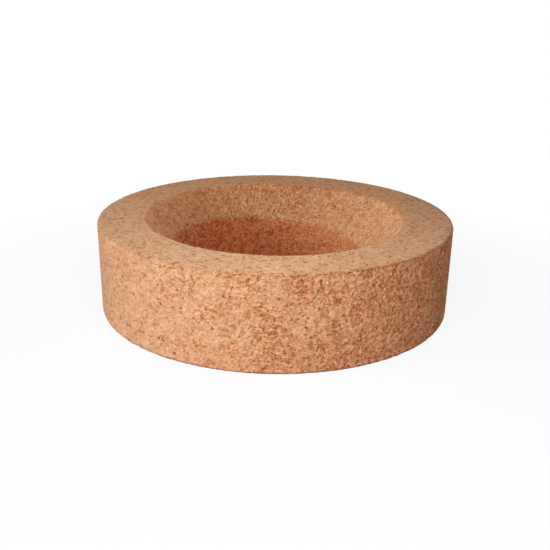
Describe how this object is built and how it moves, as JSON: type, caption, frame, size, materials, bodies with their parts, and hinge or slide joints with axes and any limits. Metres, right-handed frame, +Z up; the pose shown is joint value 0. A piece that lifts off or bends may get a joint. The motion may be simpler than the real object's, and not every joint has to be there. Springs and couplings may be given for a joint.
{
  "type": "cork ring",
  "caption": "Thick pressed-cork ring with a conical seat and a straight bore, which holds a round-bottomed flask upright on a bench.",
  "frame": {"origin": "centre of the base, on the bench", "axes": "+Z up along the ring's axis, from the base to the seat; -X towards the side where the bore is nearest the outer wall"},
  "size_m": [0.11, 0.11, 0.028],
  "materials": {
    "cork": "matte pressed cork granules, with a smoother sanded top and base"
  },
  "bodies": {
    "root": {"cork_ring": "cork"}
  },
  "joints": []
}
